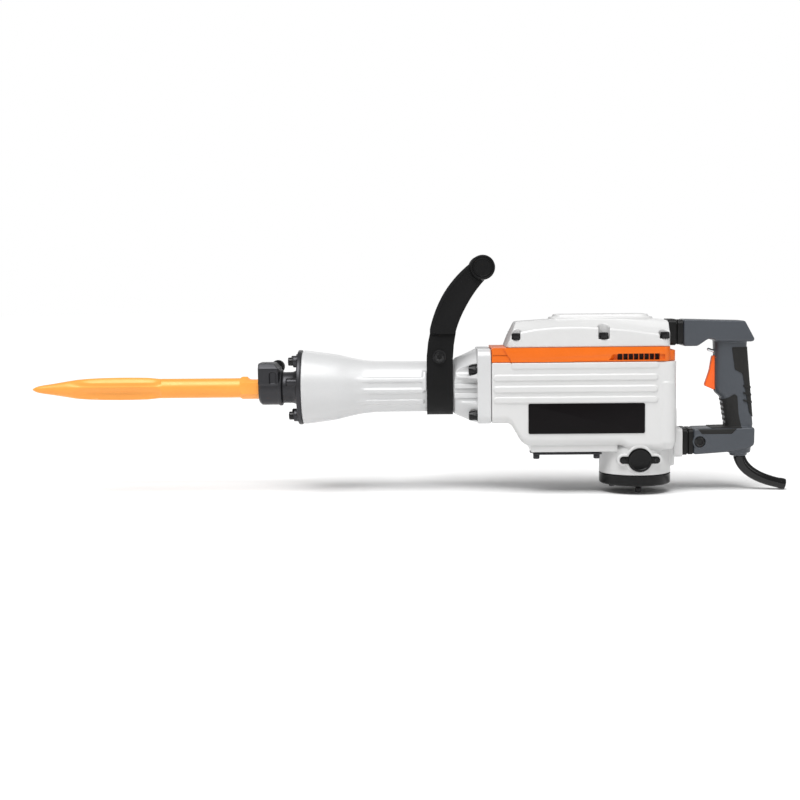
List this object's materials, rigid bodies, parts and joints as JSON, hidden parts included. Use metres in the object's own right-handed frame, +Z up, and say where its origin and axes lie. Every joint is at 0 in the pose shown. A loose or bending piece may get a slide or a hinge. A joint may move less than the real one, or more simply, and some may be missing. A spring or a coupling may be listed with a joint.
{
  "type": "electric jackhammer",
  "caption": "Electric demolition hammer with bull point chisel, flared barrel, swivelling side handle, geared crank drive, vertical motor and damped rear handle with trigger.",
  "frame": {"origin": "centre of the base: middle of the overall length, on the middle plane, at the height of the lowest point", "axes": "+X along the tool axis from the chisel tip to the rear handle, +Z up, -Y the left side that faces the viewer"},
  "size_m": [1.1606, 0.1208, 0.3629],
  "materials": {
    "chisel_paint": "satin",
    "black_casting": "satin",
    "grey_casting": "satin",
    "orange_cover": "satin",
    "black_trim": "gloss",
    "black_steel": "matte",
    "slate_plastic": "matte",
    "soft_rubber": "matte",
    "bright_steel": "polished",
    "machined_steel": "satin",
    "screw_steel": "satin",
    "orange_plastic": "satin",
    "windings": "satin",
    "carbon": "matte"
  },
  "bodies": {
    "housing": {"front_cap": "black_casting", "cylinder_case": "grey_casting", "crank_case": "grey_casting", "crank_cover": "grey_casting", "handle_bracket": "grey_casting", "cover_band": "orange_cover", "bottom_cover": "black_casting", "tail_cover": "black_trim", "name_plate_left": "black_trim", "name_plate_right": "black_trim", "brush_cap_left": "black_trim", "brush_cap_right": "black_trim", "cylinder_liner": "machined_steel", "stator": "machined_steel", "motor_bearing_top": "bright_steel", "motor_bearing_bottom": "bright_steel", "upper_bellows": "soft_rubber", "lower_bellows": "soft_rubber", "front_bolt_1": "screw_steel", "case_bolt_1": "screw_steel", "front_bolt_2": "screw_steel", "case_bolt_2": "screw_steel", "front_bolt_3": "screw_steel", "case_bolt_3": "screw_steel", "front_bolt_4": "screw_steel", "case_bolt_4": "screw_steel", "cover_screw_1": "screw_steel", "cover_screw_2": "screw_steel", "cover_screw_3": "screw_steel", "cover_screw_4": "screw_steel", "cover_screw_5": "screw_steel", "cover_screw_6": "screw_steel"},
    "tool_bit": {"chisel": "chisel_paint"},
    "retainer": {"retainer": "bright_steel"},
    "side_handle": {"handle_strap": "black_steel", "arm_sleeve_left": "soft_rubber", "arm_sleeve_right": "soft_rubber", "side_grip": "soft_rubber", "clamp_bolt": "screw_steel", "clamp_nut": "screw_steel"},
    "rear_handle": {"handle_shell_left": "slate_plastic", "handle_shell_right": "slate_plastic", "rear_grip_pad": "soft_rubber", "front_grip_pad": "soft_rubber", "switch_body": "black_trim", "pivot_bolt": "screw_steel", "cord_guard": "soft_rubber"},
    "trigger": {"trigger": "orange_plastic"},
    "lock_pin": {"lock_pin": "bright_steel"},
    "motor": {"armature": "windings", "cooling_fan": "black_trim"},
    "idler": {"idler_gear": "machined_steel"},
    "crank": {"crankshaft": "machined_steel"},
    "rod": {"connecting_rod": "machined_steel"},
    "piston": {"piston": "machined_steel"},
    "striker": {"striker": "machined_steel"},
    "impact_bolt": {"impact_bolt": "machined_steel"},
    "left_brush": {"brush_left": "carbon"},
    "right_brush": {"brush_right": "carbon"}
  },
  "joints": [
    {"name": "chisel_slide", "type": "slide", "parent": "housing", "child": "tool_bit", "axis": [-1, 0, 0], "range_m": [0, 0.018]},
    {"name": "retainer_turn", "type": "hinge", "parent": "housing", "child": "retainer", "pos_m": [-0.2077, 0, 0.1901], "axis": [0, 1, 0], "range_deg": [0, 180]},
    {"name": "side_handle_turn", "type": "hinge", "parent": "housing", "child": "side_handle", "pos_m": [0.0492, 0, 0.1636], "axis": [1, 0, 0], "continuous": true},
    {"name": "rear_handle_pivot", "type": "hinge", "parent": "housing", "child": "rear_handle", "pos_m": [0.4441, 0, 0.0767], "axis": [0, 1, 0], "range_deg": [-2, 1.5], "stiffness_Nm_per_rad": 300, "deforming": ["upper_bellows", "lower_bellows"]},
    {"name": "trigger_pull", "type": "hinge", "parent": "rear_handle", "child": "trigger", "pos_m": [0.4728, 0, 0.2046], "axis": [0, -1, 0], "range_deg": [0, 8], "stiffness_Nm_per_rad": 0.4, "springref_deg": -17.19},
    {"name": "lock_pin_slide", "type": "slide", "parent": "rear_handle", "child": "lock_pin", "axis": [0.9524, 0, -0.3048], "range_m": [0, 0.004], "stiffness_N_per_m": 100, "springref_m": -0.004},
    {"name": "crank_spin", "type": "hinge", "parent": "housing", "child": "crank", "pos_m": [0.2575, 0, 0.1636], "axis": [0, 0, 1], "continuous": true},
    {"name": "idler_spin", "type": "hinge", "parent": "housing", "child": "idler", "pos_m": [0.3115, 0, 0.1636], "axis": [0, 0, 1], "continuous": true},
    {"name": "armature_spin", "type": "hinge", "parent": "housing", "child": "motor", "pos_m": [0.3485, 0, 0.1636], "axis": [0, 0, 1], "continuous": true},
    {"name": "rod_turn", "type": "hinge", "parent": "crank", "child": "rod", "pos_m": [0.2455, 0, 0.1636], "axis": [0, 0, 1], "continuous": true},
    {"name": "piston_slide", "type": "slide", "parent": "housing", "child": "piston", "axis": [1, 0, 0], "range_m": [0, 0.024]},
    {"name": "striker_slide", "type": "slide", "parent": "housing", "child": "striker", "axis": [-1, 0, 0], "range_m": [0, 0.0295]},
    {"name": "impact_bolt_slide", "type": "slide", "parent": "housing", "child": "impact_bolt", "axis": [-1, 0, 0], "range_m": [0, 0.0035]},
    {"name": "brush_slide_left", "type": "slide", "parent": "housing", "child": "left_brush", "axis": [0, -1, 0], "range_m": [0, 0.005], "stiffness_N_per_m": 150, "springref_m": -0.01},
    {"name": "brush_slide_right", "type": "slide", "parent": "housing", "child": "right_brush", "axis": [0, 1, 0], "range_m": [0, 0.005], "stiffness_N_per_m": 150, "springref_m": -0.01}
  ],
  "couplings": [
    {"joint": "idler_spin", "follows": "crank_spin", "ratio": -2.6},
    {"joint": "armature_spin", "follows": "crank_spin", "ratio": 7.02},
    {"joint": "rod_turn", "follows": "crank_spin", "ratio": -1}
  ]
}
